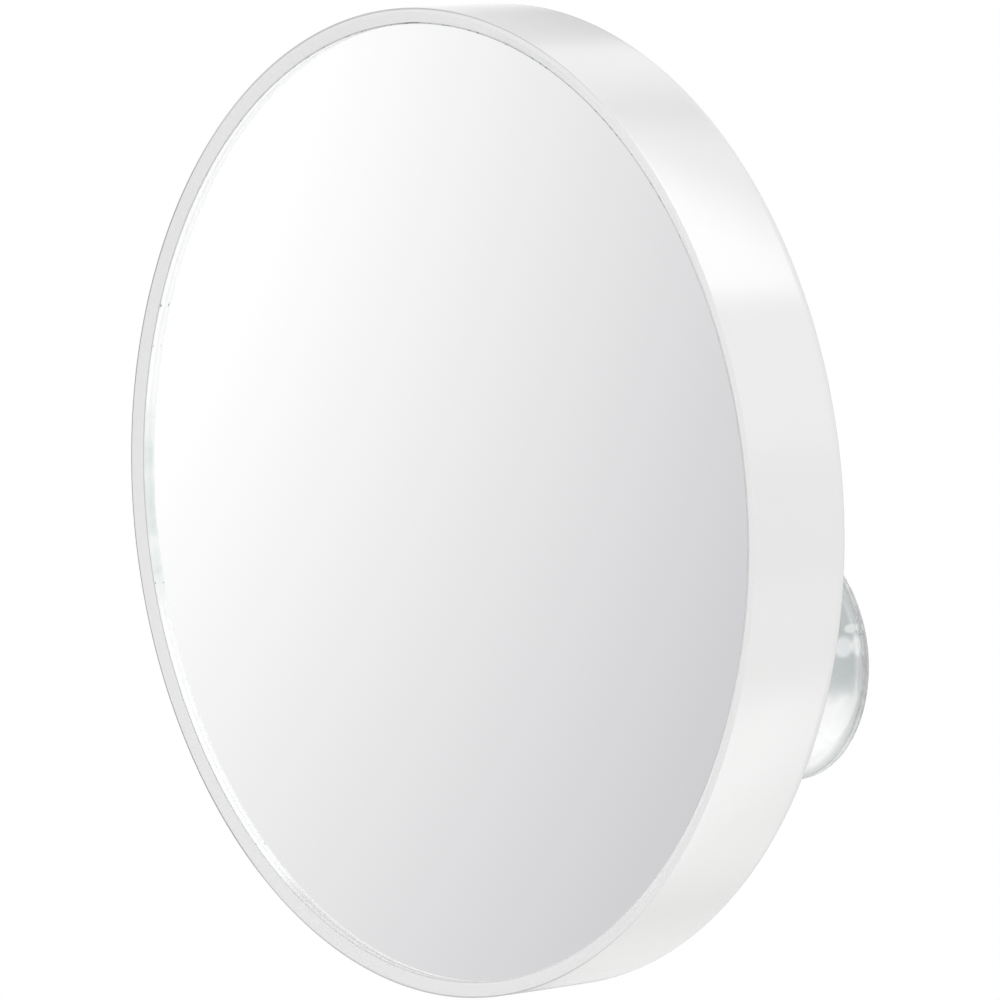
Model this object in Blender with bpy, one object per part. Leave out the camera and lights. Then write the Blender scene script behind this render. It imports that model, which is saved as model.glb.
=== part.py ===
"""Round magnifying mirror in a shallow white housing, held on a wall by three clear suction cups.

The mirror stands upright as it hangs: +Z is up, +X is to the right of someone who looks into
the glass, and +Y points from the glass into the wall. The origin lies on the mirror's own axis,
in the plane where the three cups touch the wall. Sizes are in metres.
"""

import math

import bmesh
import bpy
from mathutils import Matrix

# Housing ring
HOUSING_RADIUS = 0.050
HOUSING_DEPTH = 0.012
WALL_THICKNESS = 0.0015
RIM_DISH = 0.00066
RIM_EDGE_ROUND = 0.00025
REAR_EDGE_ROUND = 0.00035
LEDGE_WIDTH = 0.006
LEDGE_THICKNESS = 0.0015

# Gap between two pieces that touch on the real mirror
SEAT_GAP = 0.0003

# Concave glass
GLASS_THICKNESS = 0.0013
GLASS_CURVE_RADIUS = 0.545
GLASS_EDGE_CHAMFER = 0.0002

# Foam tape between the ledge and the glass
FOAM_THICKNESS = 0.0008
FOAM_WIDTH = 0.0045
FOAM_LENGTH = 0.014
FOAM_COUNT = 6

# Back cover
COVER_THICKNESS = 0.0018
COVER_EDGE_ROUND = 0.0003
SKIRT_THICKNESS = 0.0012
SNAP_DEPTH = 0.0004
SNAP_WIDTH = 0.0014
SNAP_SLIT_WIDTH = 0.003
SNAP_SLIT_COUNT = 6

# Keyholes in the back cover
KEYHOLE_TRAVEL = 0.0075
POCKET_GAP = 0.0006
POCKET_WALL = 0.0012
POCKET_HEIGHT = 0.003

# Suction cups
CUP_COUNT = 3
CUP_INSET = 0.017
CUP_STANDOFF = 0.010
CUP_RADIUS = 0.0125
CUP_LIP_THICKNESS = 0.0009
CUP_LIP_ROUND = 0.0002
CUP_LIP_FLAT = 0.0016
CUP_HOLLOW_DEPTH = 0.0034
CUP_DOME_HEIGHT = 0.0064
CUP_COLLAR_RADIUS = 0.0049
CUP_COLLAR_ROUND = 0.0004
CUP_NECK_RADIUS = 0.0026
CUP_HEAD_RADIUS = 0.0044
CUP_HEAD_HEIGHT = 0.0034
CUP_HEAD_RIM = 0.0009

# How finely round shapes are divided
HOUSING_SEGMENTS = 80
GLASS_RINGS = 4
CUP_SEGMENTS = 28
KEYHOLE_SEGMENTS = 10
ROUND_STEPS = 3
DOME_STEPS = 6

# Cutters and joined shapes run this far past the faces that they meet
OVERRUN = 0.0005
SHARP_ANGLE = math.radians(35)
MERGE_DISTANCE = 0.000001

# Depths are counted from the front of the rim towards the wall, and radii from the mirror's axis
INNER_RADIUS = HOUSING_RADIUS - WALL_THICKNESS
GLASS_RADIUS = INNER_RADIUS - SEAT_GAP
GLASS_EDGE_DEPTH = RIM_DISH + SEAT_GAP
LEDGE_INNER_RADIUS = INNER_RADIUS - LEDGE_WIDTH
FOAM_INNER_RADIUS = LEDGE_INNER_RADIUS + SEAT_GAP
COVER_INNER_DEPTH = HOUSING_DEPTH - COVER_THICKNESS
COVER_RADIUS = INNER_RADIUS - SEAT_GAP
SKIRT_INNER_RADIUS = COVER_RADIUS - SKIRT_THICKNESS
ENTRY_RADIUS = CUP_HEAD_RADIUS + SEAT_GAP
SLOT_HALF_WIDTH = CUP_NECK_RADIUS + SEAT_GAP
POCKET_INNER_RADIUS = CUP_HEAD_RADIUS + POCKET_GAP
POCKET_OUTER_RADIUS = POCKET_INNER_RADIUS + POCKET_WALL
CUP_CIRCLE_RADIUS = HOUSING_RADIUS - CUP_INSET


def glass_front_depth(radius):
    """Depth of the reflecting hollow at a radius: a sphere through the glass's front edge."""
    edge = math.sqrt(GLASS_CURVE_RADIUS**2 - GLASS_RADIUS**2)
    return GLASS_EDGE_DEPTH + math.sqrt(GLASS_CURVE_RADIUS**2 - radius**2) - edge


FOAM_FRONT_DEPTH = glass_front_depth(FOAM_INNER_RADIUS) + GLASS_THICKNESS + SEAT_GAP
LEDGE_FRONT_DEPTH = FOAM_FRONT_DEPTH + FOAM_THICKNESS + SEAT_GAP
LEDGE_BACK_DEPTH = LEDGE_FRONT_DEPTH + LEDGE_THICKNESS
SKIRT_FRONT_DEPTH = LEDGE_BACK_DEPTH + SEAT_GAP
SNAP_DEPTH_CENTRE = (SKIRT_FRONT_DEPTH + COVER_INNER_DEPTH) / 2


def clear_scene():
    """Removes whatever the file holds, so that the script starts from nothing."""
    for thing in list(bpy.data.objects):
        bpy.data.objects.remove(thing, do_unlink=True)


def material(name, colour, roughness, transmission=0.0, metallic=0.0):
    """A plain Principled material in the real piece's colour."""
    made = bpy.data.materials.new(name)
    made.use_nodes = True
    shader = made.node_tree.nodes["Principled BSDF"]
    shader.inputs["Base Color"].default_value = (*colour, 1.0)
    shader.inputs["Roughness"].default_value = roughness
    shader.inputs["Metallic"].default_value = metallic
    shader.inputs["Transmission Weight"].default_value = transmission
    return made


def wall_distance(depth):
    """The Y coordinate of a depth behind the front of the rim."""
    return depth - HOUSING_DEPTH - CUP_STANDOFF


def arc(centre, radius, start_deg, end_deg, steps):
    """Points on an arc, both ends included, in a plane of two coordinates."""
    turns = [start_deg + (end_deg - start_deg) * i / steps for i in range(steps + 1)]
    return [
        (
            centre[0] + radius * math.cos(math.radians(turn)),
            centre[1] + radius * math.sin(math.radians(turn)),
        )
        for turn in turns
    ]


def curve(start, near_start, near_end, end, steps):
    """Points on a cubic Bezier curve between two ends, steered by the two points between."""
    points = []
    for i in range(steps + 1):
        t = i / steps
        weights = ((1 - t) ** 3, 3 * t * (1 - t) ** 2, 3 * t * t * (1 - t), t**3)
        steered = (start, near_start, near_end, end)
        points.append(tuple(sum(w * p[k] for w, p in zip(weights, steered)) for k in (0, 1)))
    return points


def turned_mesh(name, profile, segments, closed):
    """A mesh turned round the Y axis from a profile of (radius, y) points.

    A closed profile makes a ring, and an open one starts and ends on the axis.
    """
    shape = bmesh.new()
    corners = [shape.verts.new((radius, y, 0)) for radius, y in profile]
    for first, second in zip(corners, corners[1:]):
        shape.edges.new((first, second))
    if closed:
        shape.edges.new((corners[-1], corners[0]))
    bmesh.ops.spin(
        shape,
        geom=shape.verts[:] + shape.edges[:],
        cent=(0, 0, 0),
        axis=(0, 1, 0),
        angle=math.tau,
        steps=segments,
        use_merge=True,
    )
    bmesh.ops.remove_doubles(shape, verts=shape.verts[:], dist=MERGE_DISTANCE)
    return finished_mesh(name, shape)


def finished_mesh(name, shape):
    """Turns the faces outwards, smooths the round ones and gives back the mesh."""
    bmesh.ops.recalc_face_normals(shape, faces=shape.faces[:])
    mesh = bpy.data.meshes.new(name)
    shape.to_mesh(mesh)
    shape.free()
    mesh.shade_smooth()
    mesh.set_sharp_from_angle(angle=SHARP_ANGLE)
    return mesh


def prism(shape, outline, near_depth, far_depth):
    """Adds a block to a bmesh: an (x, z) outline carried from one depth to another."""
    near = [shape.verts.new((x, wall_distance(near_depth), z)) for x, z in outline]
    far = [shape.verts.new((x, wall_distance(far_depth), z)) for x, z in outline]
    shape.faces.new(near)
    shape.faces.new(list(reversed(far)))
    add_band(shape, near, far)


def add_band(shape, one, other):
    """Joins two loops of as many points by a closed band of four-sided faces."""
    for i, corner in enumerate(one):
        following = (i + 1) % len(one)
        shape.faces.new((corner, other[i], other[following], one[following]))


def wall_between(shape, outer, inner, near_depth, far_depth):
    """Adds a closed wall between an outer and an inner (x, z) outline, from depth to depth."""
    loops = [
        [shape.verts.new((x, wall_distance(depth), z)) for x, z in outline]
        for outline, depth in (
            (outer, near_depth),
            (outer, far_depth),
            (inner, far_depth),
            (inner, near_depth),
        )
    ]
    for i, loop in enumerate(loops):
        add_band(shape, loop, loops[(i + 1) % len(loops)])


def place(name, mesh, finish, location=(0, 0, 0)):
    """Puts a named object of that mesh and material in the scene."""
    mesh.materials.append(finish)
    made = bpy.data.objects.new(name, mesh)
    made.location = location
    bpy.context.scene.collection.objects.link(made)
    return made


def guide(name, mesh):
    """Puts a cutter or a shape to be joined in the scene, drawn as wire."""
    made = bpy.data.objects.new(name, mesh)
    made.hide_render = True
    made.display_type = "WIRE"
    bpy.context.scene.collection.objects.link(made)
    return made


def combine(target, other, operation):
    """Adds a Boolean that cuts the other shape from a piece, or joins it on."""
    boolean = target.modifiers.new(other.name, "BOOLEAN")
    boolean.operation = operation
    boolean.object = other
    boolean.solver = "EXACT"


def cup_places():
    """Name and centre (x, z) of each cup, from the top one clockwise as seen from the front."""
    sides = ("top", "right", "left")
    places = []
    for i in range(CUP_COUNT):
        turn = math.tau * i / CUP_COUNT
        side = sides[i] if i < len(sides) else str(i + 1)
        centre = (CUP_CIRCLE_RADIUS * math.sin(turn), CUP_CIRCLE_RADIUS * math.cos(turn))
        places.append((side, centre))
    return places


def make_housing(finish):
    """The white ring: rounded rim dished towards the glass, plain side wall, ledge and groove."""
    crest = HOUSING_RADIUS - RIM_EDGE_ROUND
    heel = HOUSING_RADIUS - REAR_EDGE_ROUND
    groove_half = SNAP_WIDTH / 2 + SEAT_GAP
    groove_floor = INNER_RADIUS + SNAP_DEPTH
    profile = arc((crest, RIM_EDGE_ROUND), RIM_EDGE_ROUND, -90, 0, ROUND_STEPS)
    profile += arc((heel, HOUSING_DEPTH - REAR_EDGE_ROUND), REAR_EDGE_ROUND, 0, 90, ROUND_STEPS)
    profile += [
        (INNER_RADIUS, HOUSING_DEPTH),
        (INNER_RADIUS, SNAP_DEPTH_CENTRE + groove_half + SNAP_DEPTH),
        (groove_floor, SNAP_DEPTH_CENTRE + groove_half),
        (groove_floor, SNAP_DEPTH_CENTRE - groove_half),
        (INNER_RADIUS, SNAP_DEPTH_CENTRE - groove_half - SNAP_DEPTH),
        (INNER_RADIUS, LEDGE_BACK_DEPTH),
        (LEDGE_INNER_RADIUS, LEDGE_BACK_DEPTH),
        (LEDGE_INNER_RADIUS, LEDGE_FRONT_DEPTH),
        (INNER_RADIUS, LEDGE_FRONT_DEPTH),
        (INNER_RADIUS, RIM_DISH),
    ]
    turned = [(radius, wall_distance(depth)) for radius, depth in profile]
    place("housing", turned_mesh("housing", turned, HOUSING_SEGMENTS, True), finish)


def make_glass(finish):
    """The glass: one thickness all over, hollowed like a shallow bowl, with a ground edge."""
    flat_radius = GLASS_RADIUS - GLASS_EDGE_CHAMFER
    radii = [flat_radius * i / GLASS_RINGS for i in range(GLASS_RINGS + 1)]
    front = [(radius, glass_front_depth(radius)) for radius in radii]
    back = [(radius, depth + GLASS_THICKNESS) for radius, depth in reversed(front)]
    edge = [
        (GLASS_RADIUS, front[-1][1] + GLASS_EDGE_CHAMFER),
        (GLASS_RADIUS, back[0][1] - GLASS_EDGE_CHAMFER),
    ]
    turned = [(radius, wall_distance(depth)) for radius, depth in front + edge + back]
    mesh = turned_mesh("mirror_glass", turned, HOUSING_SEGMENTS, False)
    place("mirror_glass", mesh, finish)


def make_foam_strips(finish):
    """Straight strips of foam tape laid along the ledge, evenly spaced round it."""
    centre_radius = FOAM_INNER_RADIUS + FOAM_WIDTH / 2
    centre_depth = FOAM_FRONT_DEPTH + FOAM_THICKNESS / 2
    for i in range(FOAM_COUNT):
        turn = math.tau * (i + 0.5) / FOAM_COUNT
        centre = (
            centre_radius * math.sin(turn),
            wall_distance(centre_depth),
            centre_radius * math.cos(turn),
        )
        shape = bmesh.new()
        bmesh.ops.create_cube(shape, size=1)
        size = Matrix.Diagonal((FOAM_LENGTH, FOAM_THICKNESS, FOAM_WIDTH, 1))
        bmesh.ops.transform(shape, matrix=size, verts=shape.verts[:])
        name = f"foam_strip_{i + 1}"
        strip = place(name, finished_mesh(name, shape), finish, centre)
        strip.rotation_euler = (0, turn, 0)


def keyhole_outline(centre):
    """Keyhole seen from the front: a round-topped slot over the larger hole that lets the head in."""
    across, up = centre
    entry = (across, up - KEYHOLE_TRAVEL)
    meeting = math.degrees(math.acos(SLOT_HALF_WIDTH / ENTRY_RADIUS))
    top = arc(centre, SLOT_HALF_WIDTH, 0, 180, KEYHOLE_SEGMENTS)
    hole = arc(entry, ENTRY_RADIUS, 180 - meeting, 360 + meeting, 2 * KEYHOLE_SEGMENTS)
    return top + hole


def stadium_outline(centre, radius):
    """Round-ended outline that goes round the keyhole's two centres at one distance."""
    across, up = centre
    top = arc(centre, radius, 0, 180, KEYHOLE_SEGMENTS)
    bottom = arc((across, up - KEYHOLE_TRAVEL), radius, 180, 360, KEYHOLE_SEGMENTS)
    return top + bottom


def make_back_cover(finish):
    """The disc that closes the back: snap skirt with a bead, three keyholes, a wall round each."""
    rear = HOUSING_DEPTH
    edge_centre = (COVER_RADIUS - COVER_EDGE_ROUND, rear - COVER_EDGE_ROUND)
    bead_half = SNAP_WIDTH / 2
    bead_radius = COVER_RADIUS + SNAP_DEPTH
    profile = [(0, rear)]
    profile += arc(edge_centre, COVER_EDGE_ROUND, 90, 0, ROUND_STEPS)
    profile += [
        (COVER_RADIUS, SNAP_DEPTH_CENTRE + bead_half + SNAP_DEPTH),
        (bead_radius, SNAP_DEPTH_CENTRE + bead_half),
        (bead_radius, SNAP_DEPTH_CENTRE - bead_half),
        (COVER_RADIUS, SNAP_DEPTH_CENTRE - bead_half - SNAP_DEPTH),
        (COVER_RADIUS, SKIRT_FRONT_DEPTH),
        (SKIRT_INNER_RADIUS, SKIRT_FRONT_DEPTH),
        (SKIRT_INNER_RADIUS, COVER_INNER_DEPTH),
        (0, COVER_INNER_DEPTH),
    ]
    turned = [(radius, wall_distance(depth)) for radius, depth in profile]
    mesh = turned_mesh("back_cover", turned, HOUSING_SEGMENTS, False)
    cover = place("back_cover", mesh, finish)
    combine(cover, guide("snap_slits", snap_slits_mesh()), "DIFFERENCE")
    combine(cover, guide("head_pockets", head_pockets_mesh()), "UNION")
    combine(cover, guide("keyholes", keyholes_mesh()), "DIFFERENCE")


def snap_slits_mesh():
    """Cutters that part the skirt into springy fingers."""
    inside = SKIRT_INNER_RADIUS - SKIRT_THICKNESS
    outside = COVER_RADIUS + SNAP_DEPTH + OVERRUN
    half = SNAP_SLIT_WIDTH / 2
    outline = [(-half, inside), (half, inside), (half, outside), (-half, outside)]
    shape = bmesh.new()
    for i in range(SNAP_SLIT_COUNT):
        start = len(shape.verts)
        prism(shape, outline, SKIRT_FRONT_DEPTH - OVERRUN, COVER_INNER_DEPTH)
        shape.verts.ensure_lookup_table()
        turn = Matrix.Rotation(math.tau * i / SNAP_SLIT_COUNT, 4, "Y")
        bmesh.ops.transform(shape, matrix=turn, verts=shape.verts[start:])
    return finished_mesh("snap_slits", shape)


def head_pockets_mesh():
    """Walls inside the cover, one round each keyhole, in which a cup's head slides."""
    shape = bmesh.new()
    for _, centre in cup_places():
        outer = stadium_outline(centre, POCKET_OUTER_RADIUS)
        inner = stadium_outline(centre, POCKET_INNER_RADIUS)
        front = COVER_INNER_DEPTH - POCKET_HEIGHT
        wall_between(shape, outer, inner, front, COVER_INNER_DEPTH + OVERRUN)
    return finished_mesh("head_pockets", shape)


def keyholes_mesh():
    """Cutters for the keyholes, right through the cover's disc."""
    shape = bmesh.new()
    for _, centre in cup_places():
        prism(shape, keyhole_outline(centre), COVER_INNER_DEPTH - OVERRUN, HOUSING_DEPTH + OVERRUN)
    return finished_mesh("keyholes", shape)


def cup_profile():
    """Half section of a suction cup as (radius, y), y = 0 at the wall, from hollow to head."""
    lip_edge = CUP_RADIUS - CUP_LIP_ROUND
    hollow_radius = CUP_RADIUS - CUP_LIP_FLAT
    shoulder = CUP_STANDOFF - SEAT_GAP
    head_base = CUP_STANDOFF + COVER_THICKNESS + SEAT_GAP
    head_top = head_base + CUP_HEAD_HEIGHT
    dome_rise = CUP_DOME_HEIGHT - CUP_LIP_THICKNESS
    dome_run = lip_edge - CUP_COLLAR_RADIUS
    ceiling_share = 0.5
    lower_share = (0.32, 0.31)
    upper_share = (0.53, 0.85)

    hollow = curve(
        (0, CUP_HOLLOW_DEPTH),
        (hollow_radius * ceiling_share, CUP_HOLLOW_DEPTH),
        (hollow_radius - CUP_LIP_FLAT, CUP_LIP_THICKNESS),
        (hollow_radius, 0),
        DOME_STEPS,
    )
    lip = arc((lip_edge, CUP_LIP_ROUND), CUP_LIP_ROUND, -90, 0, ROUND_STEPS)
    lip += arc((lip_edge, CUP_LIP_THICKNESS - CUP_LIP_ROUND), CUP_LIP_ROUND, 0, 90, ROUND_STEPS)
    dome = curve(
        (lip_edge, CUP_LIP_THICKNESS),
        (lip_edge - dome_run * lower_share[0], CUP_LIP_THICKNESS + dome_rise * lower_share[1]),
        (lip_edge - dome_run * upper_share[0], CUP_LIP_THICKNESS + dome_rise * upper_share[1]),
        (CUP_COLLAR_RADIUS, CUP_DOME_HEIGHT),
        DOME_STEPS,
    )
    rounded = arc(
        (CUP_COLLAR_RADIUS - CUP_COLLAR_ROUND, shoulder - CUP_COLLAR_ROUND),
        CUP_COLLAR_ROUND,
        0,
        90,
        ROUND_STEPS,
    )
    cap_height = head_top - head_base - CUP_HEAD_RIM
    cap = [
        (radius * CUP_HEAD_RADIUS, head_base + CUP_HEAD_RIM + rise * cap_height)
        for radius, rise in arc((0, 0), 1, 0, 90, DOME_STEPS)
    ]
    cap[-1] = (0, head_top)
    neck = [(CUP_NECK_RADIUS, shoulder), (CUP_NECK_RADIUS, head_base)]
    profile = hollow + lip + dome[1:] + rounded + neck + [(CUP_HEAD_RADIUS, head_base)] + cap
    return [(radius, -height) for radius, height in profile]


def make_suction_cups(finish):
    """Three moulded cups, each with its origin on its own axis, in the plane of the wall."""
    for side, (across, up) in cup_places():
        name = f"suction_cup_{side}"
        mesh = turned_mesh(name, cup_profile(), CUP_SEGMENTS, False)
        place(name, mesh, finish, (across, 0, up))


clear_scene()
make_housing(material("white_abs", (0.86, 0.86, 0.855), 0.12))
make_glass(material("silvered_glass", (0.88, 0.9, 0.9), 0.02, metallic=1.0))
make_foam_strips(material("foam_tape", (0.75, 0.75, 0.73), 0.95))
make_back_cover(material("white_abs_cover", (0.86, 0.86, 0.855), 0.3))
make_suction_cups(material("clear_pvc", (0.93, 0.97, 0.96), 0.08, transmission=1.0))
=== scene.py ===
import math

import bmesh
import bpy
import numpy as np
from mathutils import Matrix, Vector
from mathutils.geometry import delaunay_2d_cdt


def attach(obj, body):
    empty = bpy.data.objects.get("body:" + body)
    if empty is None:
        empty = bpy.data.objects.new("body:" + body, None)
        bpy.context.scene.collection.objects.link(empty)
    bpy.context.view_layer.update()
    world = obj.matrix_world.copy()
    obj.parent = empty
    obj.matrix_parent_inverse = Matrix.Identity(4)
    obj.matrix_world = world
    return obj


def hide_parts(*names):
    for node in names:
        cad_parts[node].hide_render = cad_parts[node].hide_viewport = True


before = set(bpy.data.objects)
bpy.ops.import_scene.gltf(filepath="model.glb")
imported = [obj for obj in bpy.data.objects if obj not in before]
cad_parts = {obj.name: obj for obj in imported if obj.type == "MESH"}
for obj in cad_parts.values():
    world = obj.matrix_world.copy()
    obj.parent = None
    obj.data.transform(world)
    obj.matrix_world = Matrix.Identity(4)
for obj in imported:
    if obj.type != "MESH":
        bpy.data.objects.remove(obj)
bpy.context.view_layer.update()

# The whole script is in metres and in the frame of the CAD model: +Y points from the glass
# into the wall, y = 0 is the wall and +Z is up.
MM = 0.001


# Camera
# A very long lens to the right of the mirror and a little above its centre, tipped so that
# the mirror leans a little to the left, as it does in the photograph.
LENS_MM = 288
CAMERA_TURN_DEG = 50.95
CAMERA_RISE_DEG = 3.16
CAMERA_TIP_DEG = 3.12
CAMERA_DISTANCE = 0.8056
CAMERA_AIM = Vector((0.00469, -0.01621, 0.00005))


def place_camera():
    """Stands the camera at its distance from the aimed point, with its own right, up and back.

    Back is the direction at the turn and rise angles. Level right and level up are then turned
    by the tip angle round it.
    """
    turn, rise, tip = (math.radians(a) for a in (CAMERA_TURN_DEG, CAMERA_RISE_DEG, CAMERA_TIP_DEG))
    back = Vector((math.sin(turn) * math.cos(rise), -math.cos(turn) * math.cos(rise), math.sin(rise)))
    level_right = Vector((math.cos(turn), math.sin(turn), 0))
    level_up = back.cross(level_right)
    right = level_right * math.cos(tip) - level_up * math.sin(tip)
    up = level_right * math.sin(tip) + level_up * math.cos(tip)
    lens = bpy.data.cameras.new("camera")
    lens.lens = LENS_MM
    lens.sensor_width = 36
    lens.clip_start = 0.01
    made = bpy.data.objects.new("camera", lens)
    axes = Matrix((right, up, back)).transposed().to_4x4()
    made.matrix_world = Matrix.Translation(CAMERA_AIM + back * CAMERA_DISTANCE) @ axes
    bpy.context.scene.collection.objects.link(made)
    bpy.context.scene.camera = made


place_camera()
bpy.context.scene.view_settings.view_transform = "Standard"


# Studio
# A white tent with soft strip lights, dark flags beside the backdrop, which draw the edges of
# white plastic and clear cups, and a shaded side and a front gap for the glass to show.
MATH = "ShaderNodeMath"
VECTOR_MATH = "ShaderNodeVectorMath"
TENT_LEVEL = 0.995
CEILING_GAIN = -0.14
BACKDROP_LEVEL = 0.84
BACKDROP_WAY = (-0.775, 0.629, -0.055)
BACKDROP_COSINES = (0.99, 0.998)

# Strip lights and gaps behind the mirror. Angles in degrees go round the mirror's axis from its
# right upwards, and reach is the Y part of the direction less that of the ring's own middle.
# A reach that starts at 9 or -9 is never left.
RING_REACH = 0.655
RING_SPAN = (0.59, 0.605, 0.68, 0.695)
RING_LIGHTS = (
    # gain, rises at, over, falls at, over, slant of each edge, reach: starts at, over
    (0.6, 4.2, 8.0, 53.0, 32.0, 0, -600, 0.109, -0.089),
    (2.8, 40.8, 9.2, 55.0, 27.0, 0, -600, 0.055, -0.025),
    (-0.528, 87.3, 10.8, 104.6, 14.5, -100, 0, -0.041, 0.036),
    (0.473, 99.6, 8.9, 123.9, 9.8, 0, 0, -9, 1),
    (-0.48, 128.3, 10.8, 154.4, 19.6, 0, 100, -0.043, 0.039),
    (0.523, -117.5, 22.3, -26.8, 10.1, 0, 0, 9, -1),
    (1.568, -90.3, 32.5, -57.3, 16.0, 600, 0, 0.107, -0.124),
    (-0.139, -127.1, 16.4, -107.4, 16.4, 0, 0, -0.053, 0.013),
    (-1.0, -175.5, 12.0, -144.8, 16.1, 0, 0, -0.025, -0.023),
    (-0.12, -200.0, 8.0, -160.0, 25.0, 0, 0, 9, -1),
    (-0.2, 90.0, 14.0, 120.0, 60.0, 0, 0, 9, -1),
    (-0.4, -181.0, 6.0, -168.0, 8.0, 0, 0, 9, -1),
)

# Strip lights in front, which only the views from behind show on the side wall
FRONT_SPAN = (-0.72, -0.68, -0.6, -0.56)
FRONT_LIGHTS = (
    (2.0, 34.0, 6.0, 66.0, 20.0, 0, 0, 9, -1),
    (1.0, -80.0, 20.0, -48.0, 10.0, 0, 0, 9, -1),
)

# What the glass shows: degrees across the shading, from its dark end to its light end
SHADE_TURN_SHARE = 0.434
SHADE_RISE_SHARE = -0.901
SHADE_ENDS = (-27.66, -16.09)
SHADE_LEVELS = (0.45, 1.08)
SHADE_HEX = "#FAF8FF"
SHADE_TURNS = (-80, -68, -38, -28)
SHADE_RISES = (-22, -14, 10, 18)

# A grey gap in the front of the tent, which the glass shows from straight ahead
FRONT_GAP_LEVEL = 0.75
FRONT_GAP_TURNS = (-16, 6, 12, 36)
FRONT_GAP_RISES = (-75, -45, 8, 24)

LEFT_FLAG_LEVEL = 0.1
LEFT_FLAG_TURNS = (-112, -108, -97, -91)
LEFT_FLAG_RISES = (-19, -15, 30, 40)
REAR_FLAG_LEVEL = 0.55
REAR_FLAG_REACH = (0.72, 0.78)

FLOOR_HEIGHT = -0.17
FLOOR_RADIUS = 0.75
FLOOR_HEX = "#F7F7F6"
FLOOR_GLOW = 0.2
FLOOR_SEGMENTS = 96


def linear(colour):
    """The linear red, green, blue and alpha of an sRGB hex colour."""
    parts = [int(colour[i : i + 2], 16) / 255 for i in (1, 3, 5)]
    return [c / 12.92 if c <= 0.04045 else ((c + 0.055) / 1.055) ** 2.4 for c in parts] + [1.0]


def add_node(tree, kind, inputs=None, **settings):
    """Adds a node, sets its properties, and fills its inputs with values or links to other nodes.

    Inputs that share a name go by number. A Mix has its share at 0, its two numbers at 2 and 3,
    and its two colours at 6 and 7, with the mixed colour at output 2.
    """
    node = tree.nodes.new(kind)
    for name, value in settings.items():
        setattr(node, name, value)
    for name, value in (inputs or {}).items():
        if isinstance(value, bpy.types.Node):
            value = value.outputs[0]
        if isinstance(value, bpy.types.NodeSocket):
            tree.links.new(value, node.inputs[name])
        else:
            node.inputs[name].default_value = value
    return node


def laid_over(tree, tone, layers):
    """A tone with hex colours laid over it one after the other, each at its own share."""
    for share, colour in layers:
        mixed = add_node(tree, "ShaderNodeMix", {0: share, 6: tone, 7: linear(colour)}, data_type="RGBA")
        tone = mixed.outputs[2]
    return tone


def soft_step(tree, value, start, over):
    """0 before start and 1 past start + over, with a smooth rise between; over may be negative."""
    low, high, flip = (start, start + over, False) if over > 0 else (start + over, start, True)
    return add_node(
        tree,
        "ShaderNodeMapRange",
        {"Value": value, "From Min": low, "From Max": high, "To Min": float(flip), "To Max": float(not flip)},
        interpolation_type="SMOOTHSTEP",
    )


def soft_span(tree, value, span):
    """1 between the middle two of four values, falling smoothly to 0 at the outer two."""
    rise = soft_step(tree, value, span[0], span[1] - span[0])
    fall = soft_step(tree, value, span[3], span[2] - span[3])
    return add_node(tree, MATH, {0: rise, 1: fall}, operation="MULTIPLY")


def soft_patch(tree, turn, rise, turns, rises):
    """1 where both angles lie in the middle of their spans, falling smoothly to 0 outside them."""
    across, upwards = soft_span(tree, turn, turns), soft_span(tree, rise, rises)
    return add_node(tree, MATH, {0: across, 1: upwards}, operation="MULTIPLY")


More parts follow.
